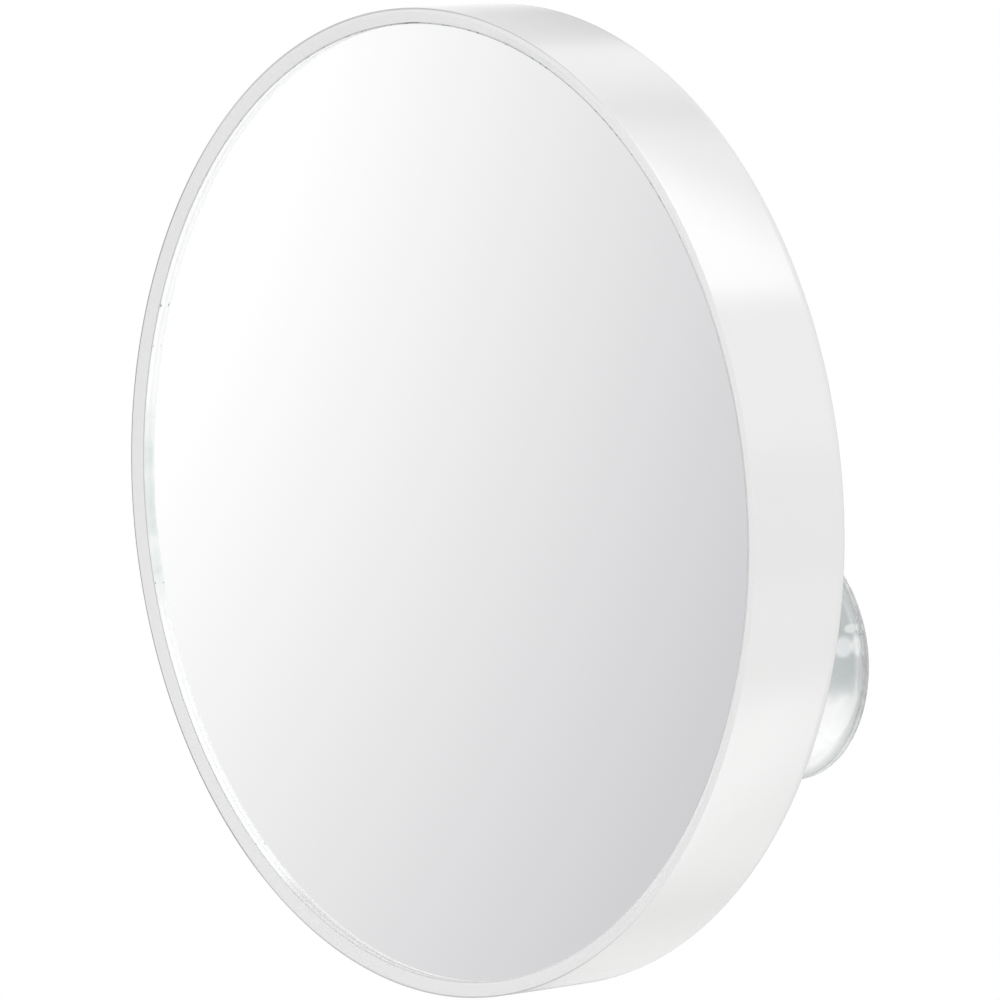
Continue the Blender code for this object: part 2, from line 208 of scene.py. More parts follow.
def light_up_studio():
    """The light that arrives from each direction, as a sum of soft windows on its angles."""
    world = bpy.data.worlds.new("studio")
    bpy.context.scene.world = world
    world.use_nodes = True
    tree = world.node_tree
    tree.nodes.clear()
    way = add_node(tree, "ShaderNodeTexCoord").outputs["Generated"]
    parts = add_node(tree, "ShaderNodeSeparateXYZ", {0: way})
    across, reach, up = parts.outputs

    round_axis = add_node(tree, MATH, {0: up, 1: across}, operation="ARCTAN2")
    round_axis = add_node(tree, MATH, {0: round_axis}, operation="DEGREES")
    ring_reach = add_node(tree, MATH, {0: reach, 1: RING_REACH}, operation="SUBTRACT")
    level = add_node(tree, MATH, {0: up, 1: CEILING_GAIN, 2: TENT_LEVEL}, operation="MULTIPLY_ADD")
    for lights, span in ((RING_LIGHTS, RING_SPAN), (FRONT_LIGHTS, FRONT_SPAN)):
        within = soft_span(tree, reach, span)
        for gain, rise, rise_over, fall, fall_over, rise_slant, fall_slant, start, over in lights:
            edges = []
            falling = (fall + fall_over, -fall_over, fall_slant)
            for edge, width, slant in ((rise, rise_over, rise_slant), falling):
                leaned = add_node(
                    tree, MATH, {0: ring_reach, 1: -slant, 2: round_axis}, operation="MULTIPLY_ADD"
                )
                edges.append(soft_step(tree, leaned, edge, width))
            shape = add_node(tree, MATH, {0: edges[0], 1: edges[1]}, operation="MULTIPLY")
            if abs(start) < 1:
                kept = soft_step(tree, ring_reach, start, over)
                shape = add_node(tree, MATH, {0: shape, 1: kept}, operation="MULTIPLY")
            shape = add_node(tree, MATH, {0: shape, 1: within}, operation="MULTIPLY")
            level = add_node(tree, MATH, {0: shape, 1: gain, 2: level}, operation="MULTIPLY_ADD")

    front = add_node(tree, MATH, {0: reach, 1: -1}, operation="MULTIPLY")
    turn = add_node(tree, MATH, {0: across, 1: front}, operation="ARCTAN2")
    turn = add_node(tree, MATH, {0: turn}, operation="DEGREES")
    rise = add_node(tree, MATH, {0: up}, operation="ARCSINE")
    rise = add_node(tree, MATH, {0: rise}, operation="DEGREES")
    shade = add_node(tree, MATH, {0: turn, 1: SHADE_TURN_SHARE}, operation="MULTIPLY")
    shade = add_node(tree, MATH, {0: rise, 1: SHADE_RISE_SHARE, 2: shade}, operation="MULTIPLY_ADD")
    start, end = SHADE_ENDS
    dark, light = SHADE_LEVELS
    shade = add_node(
        tree,
        "ShaderNodeMapRange",
        {"Value": shade, "From Min": start, "From Max": end, "To Min": dark, "To Max": light},
    )
    side = soft_patch(tree, turn, rise, SHADE_TURNS, SHADE_RISES)
    dimmed = add_node(tree, MATH, {0: light, 1: shade}, operation="SUBTRACT")
    dimmed = add_node(tree, MATH, {0: dimmed, 1: side}, operation="MULTIPLY", use_clamp=True)
    tint = laid_over(tree, linear("#FFFFFF"), [(dimmed, SHADE_HEX)])
    near = add_node(tree, VECTOR_MATH, {0: way, 1: BACKDROP_WAY}, operation="DOT_PRODUCT")
    near = near.outputs["Value"]
    rear_start, rear_end = REAR_FLAG_REACH
    backdrop_start, backdrop_end = BACKDROP_COSINES
    steps = (
        (soft_patch(tree, turn, rise, FRONT_GAP_TURNS, FRONT_GAP_RISES), FRONT_GAP_LEVEL),
        (side, shade),
        (soft_patch(tree, turn, rise, LEFT_FLAG_TURNS, LEFT_FLAG_RISES), LEFT_FLAG_LEVEL),
        (soft_step(tree, reach, rear_start, rear_end - rear_start), REAR_FLAG_LEVEL),
        (soft_step(tree, near, backdrop_start, backdrop_end - backdrop_start), BACKDROP_LEVEL),
    )
    for share, other in steps:
        level = add_node(tree, "ShaderNodeMix", {0: share, 2: level, 3: other}, data_type="FLOAT")
    seen = add_node(tree, "ShaderNodeBackground", {"Color": linear("#FFFFFF"), "Strength": 1.0})
    tent = add_node(tree, "ShaderNodeBackground", {"Color": tint, "Strength": level})
    camera_ray = add_node(tree, "ShaderNodeLightPath").outputs["Is Camera Ray"]
    both = add_node(tree, "ShaderNodeMixShader", {0: camera_ray, 1: tent, 2: seen})
    add_node(tree, "ShaderNodeOutputWorld", {"Surface": both})


def plain_material(name):
    """A new material and its emptied node tree."""
    made = bpy.data.materials.new(name)
    made.use_nodes = True
    made.node_tree.nodes.clear()
    return made, made.node_tree


def lay_floor():
    """A round pale floor: one flat face inside the circle of points (r cos a, r sin a)."""
    turns = np.linspace(0, math.tau, FLOOR_SEGMENTS, endpoint=False)
    edge = np.stack([FLOOR_RADIUS * np.cos(turns), FLOOR_RADIUS * np.sin(turns), turns * 0], axis=1)
    mesh = bpy.data.meshes.new("floor")
    mesh.from_pydata((edge + (0, 0, FLOOR_HEIGHT)).tolist(), [], [list(range(len(turns)))])
    made, tree = plain_material("painted_floor")
    paint = add_node(tree, "ShaderNodeBsdfDiffuse", {"Color": linear(FLOOR_HEX)})
    glow = add_node(tree, "ShaderNodeEmission", {"Color": linear("#FFFFFF"), "Strength": FLOOR_GLOW})
    lit = add_node(tree, "ShaderNodeAddShader", {0: paint, 1: glow})
    path = add_node(tree, "ShaderNodeLightPath").outputs
    seen = add_node(
        tree, MATH, {0: path["Is Camera Ray"], 1: path["Is Transmission Ray"]}, operation="MAXIMUM"
    )
    both = add_node(tree, "ShaderNodeMixShader", {0: seen, 1: paint, 2: lit})
    add_node(tree, "ShaderNodeOutputMaterial", {"Surface": both})
    mesh.materials.append(made)
    floor = bpy.data.objects.new("floor", mesh)
    floor.visible_glossy = False
    bpy.context.scene.collection.objects.link(floor)


light_up_studio()
lay_floor()


# Housing
# One injection moulding in white ABS from a polished tool: a round side wall, a narrow rim that
# dips towards the glass, a ledge inside for the glass, and a groove that the cover snaps into.
HOUSING_RADIUS = 50 * MM
HOUSING_FRONT = -22 * MM
HOUSING_DEPTH = 12 * MM
HOUSING_INNER_RADIUS = 48.5 * MM
WALL_CROWN = 0.03 * MM
RIM_DIP = 0.66 * MM
RIM_BEVEL_WIDTH = 0.48 * MM
RIM_BEVEL_DEPTH = 0.234 * MM
RIM_INNER_ROUND = 0.06 * MM
CREST_SOFTNESS = 0.2
FOOT_SOFTNESS = 0.1
WALL_STATIONS = 24
REAR_ROUND = 0.35 * MM
REAR_INNER_ROUND = 0.12 * MM
LEDGE_INNER_RADIUS = 42.5 * MM
LEDGE_FRONT_DEPTH = 4.13 * MM
LEDGE_BACK_DEPTH = 5.63 * MM
GROOVE_DEPTHS = np.array([6.65, 7.05, 9.05, 9.45]) * MM
GROOVE_CUT = 0.4 * MM
TURNED_SEGMENTS = 240

ABS_HEX = "#EEEEEE"
# Painted shade: a darker band on the rim's bevel, widest on the left, for the outline of the edge seen
# edge-on.
ABS_EDGE_SHADE_HEX = "#C6C7C6"
ABS_EDGE_SHADE_START = 49.76 * MM
ABS_EDGE_SHADE_LEAN = 0.0058
ABS_EDGE_SHADE_DEPTH = 0.3 * MM
ABS_EDGE_SHADE_FADE = 0.05 * MM
ABS_IOR = 1.5
ABS_ROUGHNESS = 0.1
SINK_MM = 17
SINK_SHADE = 0.985
SINK_BUMP, SINK_DEPTH = 0.25, 0.05 * MM
ORANGE_PEEL_MM = 2.4
PEEL_BUMP, PEEL_DEPTH = 0.3, 0.01 * MM
HAZE_MM = 9
HAZE_GLOSS = (0.7, 1.4)
GRAIN_BUMP, GRAIN_DEPTH = 0.35, 0.03 * MM
NOISE = "ShaderNodeTexNoise"
BUMP = "ShaderNodeBump"
PRINCIPLED = "ShaderNodeBsdfPrincipled"


def shaded(colour, share):
    """The linear form of an sRGB hex colour at a share of its light."""
    return [c * share for c in linear(colour)[:3]] + [1.0]


def arc(centre, radius, start_deg, end_deg, count):
    """Points on an arc in a (radius, depth) plane: centre + radius times (cos, sin) of the angle."""
    turns = np.radians(np.linspace(start_deg, end_deg, count))
    return np.stack([centre[0] + radius * np.cos(turns), centre[1] + radius * np.sin(turns)], axis=1)


def line(start, end, count):
    """Evenly spaced points from start to end, both ends included."""
    shares = np.linspace(0, 1, count)[:, None]
    return np.asarray(start) * (1 - shares) + np.asarray(end) * shares


def bezier(start, near_start, near_end, end, count):
    """Points on a cubic Bezier curve: the four given points weighted by its four polynomials."""
    t = np.linspace(0, 1, count)[:, None]
    given = [np.asarray(p) for p in (start, near_start, near_end, end)]
    weights = ((1 - t) ** 3, 3 * t * (1 - t) ** 2, 3 * t * t * (1 - t), t**3)
    return sum(w * p for w, p in zip(weights, given))


def enclosed_volume(points, triangles):
    """Volume inside closed triangles: a sixth of the summed products corner . (corner x corner)."""
    a, b, c = (points[triangles[:, k]] for k in range(3))
    return np.einsum("ij,ij->", a, np.cross(b, c)) / 6


def new_piece(name, shells, materials, body, sharp_deg=40):
    """Puts closed shells of (points, faces, material number) into one smooth mesh on a body.

    A shell whose enclosed volume comes out negative has its faces turned round, so that all
    of them point outwards.
    """
    points, faces, slots = [], [], []
    start = 0
    for shell_points, shell_faces, shell_slots in shells:
        fans = [(f[0], f[k], f[k + 1]) for f in shell_faces for k in range(1, len(f) - 1)]
        if enclosed_volume(shell_points - shell_points.mean(axis=0), np.array(fans)) < 0:
            shell_faces = [f[::-1] for f in shell_faces]
        faces += [[corner + start for corner in f] for f in shell_faces]
        slots += list(shell_slots)
        points.append(shell_points)
        start += len(shell_points)
    mesh = bpy.data.meshes.new(name)
    mesh.from_pydata(np.concatenate(points).tolist(), [], faces)
    for material in materials:
        mesh.materials.append(material)
    mesh.polygons.foreach_set("material_index", slots)
    mesh.shade_smooth()
    mesh.set_sharp_from_angle(angle=math.radians(sharp_deg))
    mesh.update()
    piece = bpy.data.objects.new(name, mesh)
    bpy.context.scene.collection.objects.link(piece)
    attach(piece, body)
    return piece


def band_faces(number):
    """Faces between neighbouring rows of point numbers, where each row closes on itself."""
    near, far = number[:-1], number[1:]
    quads = np.stack([near, np.roll(near, -1, 1), np.roll(far, -1, 1), far], axis=2)
    return quads.reshape(-1, 4).tolist()


def pole_faces(number, last):
    """Triangles that close the first row on point 0 and the last row on the last point."""
    head, tail = number[0], number[-1]
    pole = np.zeros_like(head)
    faces = np.stack([pole, np.roll(head, -1), head], axis=1).tolist()
    return faces + np.stack([pole + last, tail, np.roll(tail, -1)], axis=1).tolist()


def turned_shell(profile, segments, closed, centre=(0, 0), slots=None):
    """A shell turned round an axis along Y through centre (x, z).

    The point at profile station (r, y) and turn a is (r sin a, y, r cos a). A closed profile
    makes a ring. An open one starts and ends on the axis, where one point closes the pole.
    """
    profile = np.asarray(profile)
    turns = np.linspace(0, math.tau, segments, endpoint=False)
    radius, depth = profile[:, :1], profile[:, 1:]
    x, z = centre
    grid = np.stack(
        [x + radius * np.sin(turns), depth + 0 * turns, z + radius * np.cos(turns)], axis=2
    )
    stations = len(profile)
    number = np.arange(stations * segments).reshape(stations, segments)
    if closed:
        number = np.concatenate([number, number[:1]])
        points = grid.reshape(-1, 3)
    else:
        number = number[1:-1] - segments + 1
        points = np.concatenate([grid[0, :1], grid[1:-1].reshape(-1, 3), grid[-1, :1]])
    faces = band_faces(number)
    bands = np.repeat(np.arange(len(number) - 1), segments)
    if not closed:
        faces += pole_faces(number, len(points) - 1)
        bands = np.concatenate([bands + 1, np.repeat([0, len(number)], segments)])
    given = np.zeros(stations, int) if slots is None else np.asarray(slots)
    return points, faces, given[bands]


def housing_profile():
    """Half section of the housing as (radius, depth), from the rim's crest outwards.

    The side wall bulges: its radius falls from the middle to both ends with the square of the
    distance. A narrow bevel with soft ends joins it to the rim, and the other corners are arcs.
    """
    def wall_radius(depth):
        return HOUSING_RADIUS - WALL_CROWN * ((depth - HOUSING_DEPTH / 2) / (HOUSING_DEPTH / 2)) ** 2

    front, rear = wall_radius(RIM_BEVEL_DEPTH), wall_radius(HOUSING_DEPTH - REAR_ROUND)
    depths = np.linspace(RIM_BEVEL_DEPTH * 1.5, HOUSING_DEPTH - REAR_ROUND, WALL_STATIONS)
    wall = np.stack([wall_radius(depths), depths], axis=1)
    inner, groove = HOUSING_INNER_RADIUS, HOUSING_INNER_RADIUS + GROOVE_CUT
    inner_crest = inner + RIM_INNER_ROUND
    outer_crest = front - RIM_BEVEL_WIDTH
    rim_slope = math.degrees(math.atan(RIM_DIP / (outer_crest - inner)))
    bevel_start, bevel_end = np.array([outer_crest, 0]), np.array([front, RIM_BEVEL_DEPTH])
    crest = bezier(
        bevel_start - (RIM_BEVEL_WIDTH * CREST_SOFTNESS, 0),
        bevel_start,
        bevel_start,
        bevel_start * (1 - CREST_SOFTNESS) + bevel_end * CREST_SOFTNESS,
        6,
    )
    foot = bezier(
        bevel_start * FOOT_SOFTNESS + bevel_end * (1 - FOOT_SOFTNESS),
        bevel_end,
        bevel_end,
        bevel_end + (0, RIM_BEVEL_DEPTH * CREST_SOFTNESS),
        6,
    )
    crest = np.concatenate([crest, foot])
    crest[:, 1] += (crest[:, 0] < outer_crest) * (outer_crest - crest[:, 0]) * RIM_DIP / (outer_crest - inner)
    lip = arc((inner_crest, RIM_DIP + RIM_INNER_ROUND), RIM_INNER_ROUND, 180, 270 - rim_slope, 6)
    rear_corner = arc((rear - REAR_ROUND, HOUSING_DEPTH - REAR_ROUND), REAR_ROUND, 3, 90, 9)
    rear_lip = arc(
        (inner + REAR_INNER_ROUND, HOUSING_DEPTH - REAR_INNER_ROUND), REAR_INNER_ROUND, 90, 180, 5
    )
    inside = [
        (inner, GROOVE_DEPTHS[3]),
        (groove, GROOVE_DEPTHS[2]),
        (groove, GROOVE_DEPTHS[1]),
        (inner, GROOVE_DEPTHS[0]),
        (inner, LEDGE_BACK_DEPTH),
        (LEDGE_INNER_RADIUS, LEDGE_BACK_DEPTH),
        (LEDGE_INNER_RADIUS, LEDGE_FRONT_DEPTH),
        (inner, LEDGE_FRONT_DEPTH),
    ]
    face = line(lip[-1], crest[0], 6)[1:-1]
    profile = np.concatenate([lip, face, crest, wall[:-1], rear_corner, rear_lip, inside])
    return profile + (0, HOUSING_FRONT)


def moulded_abs(name, roughness, peel_bump, grain_mm=None, edge_shaded=False):
    """Moulded ABS: even, opaque white with a soft gloss. Close up its shine wavers a little,
    from faint orange peel and shallow sink, and where the tool was spark-eroded from a fine grain.
    When asked for, a rim's bevel carries painted shade: a darker band for the outline of the edge
    seen edge-on, which grows wider from right to left."""
    made, tree = plain_material(name)
    place = add_node(tree, "ShaderNodeTexCoord").outputs["Object"]
    sink = add_node(tree, NOISE, {"Vector": place, "Scale": 1 / (SINK_MM * MM), "Detail": 1.0})
    peel = add_node(tree, NOISE, {"Vector": place, "Scale": 1 / (ORANGE_PEEL_MM * MM), "Detail": 2.0})
    haze = add_node(
        tree, NOISE, {"Vector": place, "Scale": 1 / (HAZE_MM * MM), "Detail": 5.0, "Roughness": 0.65}
    )
    clear, dull = (roughness * share for share in HAZE_GLOSS)
    gloss = add_node(
        tree,
        "ShaderNodeMapRange",
        {"Value": haze, "From Min": 0.1, "From Max": 0.9, "To Min": clear, "To Max": dull},
    )
    tone = laid_over(tree, shaded(ABS_HEX, SINK_SHADE), [(sink, ABS_HEX)])
    # Painted shade on the rim's bevel, for the dark outline of the edge seen edge-on.
    if edge_shaded:
        across = add_node(tree, VECTOR_MATH, {0: place, 1: (1, 0, 1)}, operation="MULTIPLY")
        radius = add_node(tree, VECTOR_MATH, {0: across}, operation="LENGTH").outputs["Value"]
        sideways, depth, _ = add_node(tree, "ShaderNodeSeparateXYZ", {0: place}).outputs
        outward = add_node(tree, MATH, {0: sideways, 1: -ABS_EDGE_SHADE_LEAN, 2: radius}, operation="MULTIPLY_ADD")
        bevel = soft_step(tree, outward, ABS_EDGE_SHADE_START, ABS_EDGE_SHADE_FADE)
        ahead = soft_step(tree, depth, HOUSING_FRONT + ABS_EDGE_SHADE_DEPTH, -ABS_EDGE_SHADE_FADE)
        share = add_node(tree, MATH, {0: bevel, 1: ahead}, operation="MULTIPLY")
        tone = laid_over(tree, tone, [(share, ABS_EDGE_SHADE_HEX)])
    bumps = [(sink, SINK_BUMP, SINK_DEPTH), (peel, peel_bump, PEEL_DEPTH)]
    if grain_mm:
        grain = add_node(tree, NOISE, {"Vector": place, "Scale": 1 / (grain_mm * MM), "Detail": 2.0})
        bumps.append((grain, GRAIN_BUMP, GRAIN_DEPTH))
    bump = None
    for height, strength, distance in bumps:
        below = {"Normal": bump} if bump else {}
        bump = add_node(
            tree, BUMP, {"Height": height, "Strength": strength, "Distance": distance, **below}
        )
    shader = add_node(
        tree, PRINCIPLED, {"Base Color": tone, "Roughness": gloss, "Normal": bump, "IOR": ABS_IOR}
    )
    add_node(tree, "ShaderNodeOutputMaterial", {"Surface": shader})
    return made


gloss_abs = moulded_abs("polished_moulded_abs", ABS_ROUGHNESS, PEEL_BUMP, edge_shaded=True)
housing = new_piece(
    "white_housing", [turned_shell(housing_profile(), TURNED_SEGMENTS, True)], [gloss_abs], "mirror"
)
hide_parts("housing")


# Foam tape
# Six short strips of white double-sided foam tape on the ledge, pressed by the glass so that
# their long sides bulge a little. They hold the glass and are hidden behind it.
FOAM_COUNT = 6
FOAM_SIZE = np.array([14.0, 1.3, 4.5]) * MM
FOAM_MIDDLE_RADIUS = 45.05 * MM
FOAM_MIDDLE_DEPTH = 3.41 * MM
FOAM_SQUARENESS = 0.16
FOAM_BULGE = 0.12 * MM
FOAM_STEPS = (17, 32)
FOAM_HEX = "#E4E2DC"
FOAM_CELL_MM = 0.35
FOAM_CELL_SHADE = 0.8
FOAM_CELL_BUMP, FOAM_CELL_DEPTH = 0.6, 0.1 * MM


def foam_shell(turn):
    """A squared-off superellipsoid, lying across the radius at a turn round the mirror's axis.

    Each of its three coordinates is half the size times products of cos and sin of two angles,
    raised to the squareness and kept in sign. The long sides are pushed out by the bulge where
    the thickness is at its middle.
    """
    def squared(values):
        return np.sign(values) * np.abs(values) ** FOAM_SQUARENESS

    rise = np.linspace(-math.pi / 2, math.pi / 2, FOAM_STEPS[0])[1:-1, None]
    around = np.linspace(0, math.tau, FOAM_STEPS[1], endpoint=False)[None]
    along = squared(np.sin(rise)) + 0 * around
    across = squared(np.cos(rise)) * squared(np.cos(around))
    thick = squared(np.cos(rise)) * squared(np.sin(around))
    grid = np.stack([along, thick, across], axis=2) * FOAM_SIZE / 2
    grid[..., 2] += np.sign(across) * FOAM_BULGE * (1 - thick**2) * (np.abs(across) > 0.5)
    ends = np.array([[-FOAM_SIZE[0] / 2, 0, 0], [FOAM_SIZE[0] / 2, 0, 0]])
    points = np.concatenate([ends[:1], grid.reshape(-1, 3), ends[1:]])
    number = np.arange(grid.shape[0] * grid.shape[1]).reshape(grid.shape[:2]) + 1
    faces = band_faces(number) + pole_faces(number, len(points) - 1)
    points += (0, HOUSING_FRONT + FOAM_MIDDLE_DEPTH, FOAM_MIDDLE_RADIUS)
    x, y, z = points.T
    cosine, sine = math.cos(turn), math.sin(turn)
    turned = np.stack([x * cosine + z * sine, y, z * cosine - x * sine], axis=1)
    return turned, faces, [0] * len(faces)


def foam_material():
    """Closed-cell foam: dull, off-white and open at the cut sides, with cells under half a
    millimetre that show as soft pits, each painted darker towards its middle as shade."""
    made, tree = plain_material("closed_cell_foam")
    place = add_node(tree, "ShaderNodeTexCoord").outputs["Object"]
    cells = add_node(tree, "ShaderNodeTexVoronoi", {"Vector": place, "Scale": 1 / (FOAM_CELL_MM * MM)})
    pits = cells.outputs["Distance"]
    # Painted shade: each cell is darker towards the middle of its pit.
    tone = laid_over(tree, shaded(FOAM_HEX, FOAM_CELL_SHADE), [(pits, FOAM_HEX)])
    bump = add_node(
        tree, BUMP, {"Height": pits, "Strength": FOAM_CELL_BUMP, "Distance": FOAM_CELL_DEPTH}
    )
    shader = add_node(
        tree,
        PRINCIPLED,
        {"Base Color": tone, "Roughness": 0.95, "Normal": bump, "Specular IOR Level": 0.3},
    )
    add_node(tree, "ShaderNodeOutputMaterial", {"Surface": shader})
    return made


foam = foam_material()
for i in range(FOAM_COUNT):
    strip = new_piece(
        f"foam_tape_{i + 1}", [foam_shell(math.tau * (i + 0.5) / FOAM_COUNT)], [foam], "mirror"
    )
    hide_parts(f"foam_strip_{i + 1}")


# Mirror glass
# Slumped soda-lime glass, 1.5 mm thick and hollowed to a long radius for a low magnification.
# Its edge is ground with a fine belt, which leaves it frosted and nibbled; its pale green patch is painted
# shade and its glow painted light.
GLASS_RADIUS = 48.46 * MM
GLASS_DROP = 0.03 * MM
GLASS_THICKNESS = 1.5 * MM
GLASS_CURVE_RADIUS = 545 * MM
GLASS_EDGE_DEPTH = 0.74 * MM
GLASS_CHAMFER = 0.1 * MM
GLASS_RINGS = 40
GLASS_HEX = "#FCFCFC"
GLASS_IOR = 1.52
GROUND_HEX = "#FDFEFE"
# Painted shade: pale green about the middle height of the ground edge.
GROUND_SHADE_HEX = "#DFE7E4"
GROUND_FOOT_HEX = "#E3E3E2"
GROUND_ROUGHNESS = 0.6
# Painted light: the ground edge glows as if lit from inside the plate.
GROUND_GLOW = 0.22
GROUND_SHADE_MM = (-20, -6, 4, 18)
GROUND_SHADE_START, GROUND_SHADE_OVER = 0.2, 0.35
GROUND_FOOT_MM = (-41.5, -38)
GROUND_WAVER_MM = 5
NIBBLE_HEX = "#93A59E"
NIBBLE_MM = 0.9
NIBBLE_START = 0.7
NIBBLE_FADE = 0.05
SEAM_HEX = "#DDE2E0"
SEAM_SHADE = 0.8
SEAM_ROUGHNESS = 0.7
SEAM_PALE_FOOT_MM = (-41, -28)
SEAM_MM = 0.5
SEAM_NIBBLE_START = 0.6


def hollow_depth(radius):
    """Depth of the hollow at a radius: a sphere through the glass's front edge."""
    edge = math.sqrt(GLASS_CURVE_RADIUS**2 - GLASS_RADIUS**2)
    return GLASS_EDGE_DEPTH + np.sqrt(GLASS_CURVE_RADIUS**2 - radius**2) - edge


def glass_profile():
    """Half section of the glass from the middle of its front to the middle of its back, and
    which stretches of it are polished (0), ground (1) and seamed (2)."""
    flat_radius = GLASS_RADIUS - GLASS_CHAMFER
    radii = np.linspace(0, flat_radius, GLASS_RINGS + 1)
    front = np.stack([radii, hollow_depth(radii)], axis=1)
    back = (front + (0, GLASS_THICKNESS))[::-1]
    edge = np.array(
        [[GLASS_RADIUS, front[-1, 1] + GLASS_CHAMFER], [GLASS_RADIUS, back[0, 1] - GLASS_CHAMFER]]
    )
    profile = np.concatenate([front, edge, back]) + (0, HOUSING_FRONT)
    ground = np.zeros(len(profile), int)
    ground[GLASS_RINGS : GLASS_RINGS + 3] = (2, 1, 1)
    return profile, ground


def glass_material():
    """Polished float glass: clear, with a hard, sharp shine that grows towards grazing angles.
    The plate is even, so light goes straight through it, and only its outside shines."""
    made, tree = plain_material("polished_soda_lime_glass")
    clear = add_node(tree, "ShaderNodeBsdfTransparent", {"Color": linear(GLASS_HEX)})
    shine = add_node(tree, "ShaderNodeBsdfGlossy", {"Color": linear("#FFFFFF"), "Roughness": 0.0})
    share = add_node(tree, "ShaderNodeFresnel", {"IOR": GLASS_IOR})
    inside = add_node(tree, "ShaderNodeNewGeometry").outputs["Backfacing"]
    outside = add_node(tree, MATH, {0: 1.0, 1: inside}, operation="SUBTRACT")
    share = add_node(tree, MATH, {0: share, 1: outside}, operation="MULTIPLY")
    both = add_node(tree, "ShaderNodeMixShader", {0: share, 1: clear, 2: shine})
    add_node(tree, "ShaderNodeOutputMaterial", {"Surface": both})
    return made


def nibbles(tree, place, start):
    """1 in the small flakes that have come off a glass edge: where noise rises past start."""
    flakes = add_node(
        tree, NOISE, {"Vector": place, "Scale": 1 / (NIBBLE_MM * MM), "Detail": 2.0, "Roughness": 0.6}
    )
    return soft_step(tree, flakes, start, NIBBLE_FADE)


def finish_edge(tree, tone, roughness, glow):
    """Ends an edge's material: its tone, how rough it is, and a painted glow standing in for light from
    inside the plate.
    """
    shader = add_node(
        tree,
        PRINCIPLED,
        {
            "Base Color": tone,
            "Roughness": roughness,
            "IOR": GLASS_IOR,
            "Emission Color": tone,
            "Emission Strength": glow,
        },
    )
    add_node(tree, "ShaderNodeOutputMaterial", {"Surface": shader})


def ground_material():
    """Belt-ground glass: frosted and nearly white, with a painted glow standing in for light gathered
    by the whole plate, a painted pale green shade from a little below to a little above the middle
    height, broken up by noise, grey at its foot, and dark where a flake has come off."""
    made, tree = plain_material("belt_ground_glass")
    place = add_node(tree, "ShaderNodeTexCoord").outputs["Object"]
    height = add_node(tree, "ShaderNodeSeparateXYZ", {0: place}).outputs["Z"]
    waver = add_node(tree, NOISE, {"Vector": place, "Scale": 1 / (GROUND_WAVER_MM * MM), "Detail": 3.0})
    # Painted shade: pale green about the middle height, broken up by noise.
    green_shade = soft_span(tree, height, [mm * MM for mm in GROUND_SHADE_MM])
    green_shade = add_node(tree, MATH, {0: green_shade, 1: waver}, operation="MULTIPLY", use_clamp=True)
    green_shade = soft_step(tree, green_shade, GROUND_SHADE_START, GROUND_SHADE_OVER)
    foot, bare = (mm * MM for mm in GROUND_FOOT_MM)
    at_foot = soft_step(tree, height, bare, foot - bare)
    flaked = nibbles(tree, place, NIBBLE_START)
    layers = ((green_shade, GROUND_SHADE_HEX), (at_foot, GROUND_FOOT_HEX), (flaked, NIBBLE_HEX))
    finish_edge(tree, laid_over(tree, linear(GROUND_HEX), layers), GROUND_ROUGHNESS, GROUND_GLOW)
    return made


def seam_material():
    """Seamed glass: its front edge is taken off by hand on a coarse belt, which leaves a dull
    grey line round the plate, paler towards its foot and with flakes off in its upper half. From
    inside the plate it is painted as white as the ground edge, with the same painted glow."""
    made, tree = plain_material("seamed_glass")
    place = add_node(tree, "ShaderNodeTexCoord").outputs["Object"]
    grit = add_node(tree, NOISE, {"Vector": place, "Scale": 1 / (SEAM_MM * MM), "Detail": 2.0})
    height = add_node(tree, "ShaderNodeSeparateXYZ", {0: place}).outputs["Z"]
    low, high = (mm * MM for mm in SEAM_PALE_FOOT_MM)
    # The grey line fades out towards the seam's foot.
    bare = soft_step(tree, height, high, low - high)
    flaked = add_node(
        tree,
        MATH,
        {0: soft_step(tree, height, 0, -low), 1: nibbles(tree, place, SEAM_NIBBLE_START)},
        operation="MULTIPLY",
    )
    # Painted light: seen from inside the plate, the seam takes the ground edge's white and glows like it.
    inside = add_node(tree, "ShaderNodeNewGeometry").outputs["Backfacing"]
    glow = add_node(tree, MATH, {0: inside, 1: GROUND_GLOW}, operation="MULTIPLY")
    layers = ((grit, SEAM_HEX), (bare, GROUND_HEX), (flaked, NIBBLE_HEX), (inside, GROUND_HEX))
    finish_edge(tree, laid_over(tree, shaded(SEAM_HEX, SEAM_SHADE), layers), SEAM_ROUGHNESS, glow)
    return made


section, ground_bands = glass_profile()
glass = new_piece(
    "concave_glass",
    [turned_shell(section, TURNED_SEGMENTS, False, centre=(0, -GLASS_DROP), slots=ground_bands)],
    [glass_material(), ground_material(), seam_material()],
    "mirror",
    sharp_deg=25,
)
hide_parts("mirror_glass")


# Silver coat
# The silver on the back of the glass, with its grey protective paint behind it, both bonded to
# the glass. Glass makes its back seem nearer, and the silver's front lies where it is seen.
SILVER_RADIUS = 48.43 * MM
SILVER_DEPTH = 0.73 * MM
PAINT_PROUD = 0.04 * MM
SILVER_HEX = "#FCFCFC"
PAINT_HEX = "#A3A8AB"
PAINT_SPECKLE_MM = 0.6
PAINT_SHADE = 0.85
PAINT_BUMP, PAINT_DEPTH = 0.3, 0.03 * MM


def silver_profile():
    """Half section of the coat: the hollow's own curve, set back, and a flat edge."""
    radii = np.linspace(0, SILVER_RADIUS, GLASS_RINGS + 1)
    curve = np.stack([radii, hollow_depth(radii) + HOUSING_FRONT], axis=1)
    back = (curve + (0, GLASS_THICKNESS + PAINT_PROUD))[::-1]
    profile = np.concatenate([curve + (0, SILVER_DEPTH), back])
    painted = np.zeros(len(profile), int)
    painted[GLASS_RINGS:] = 1
    return profile, painted


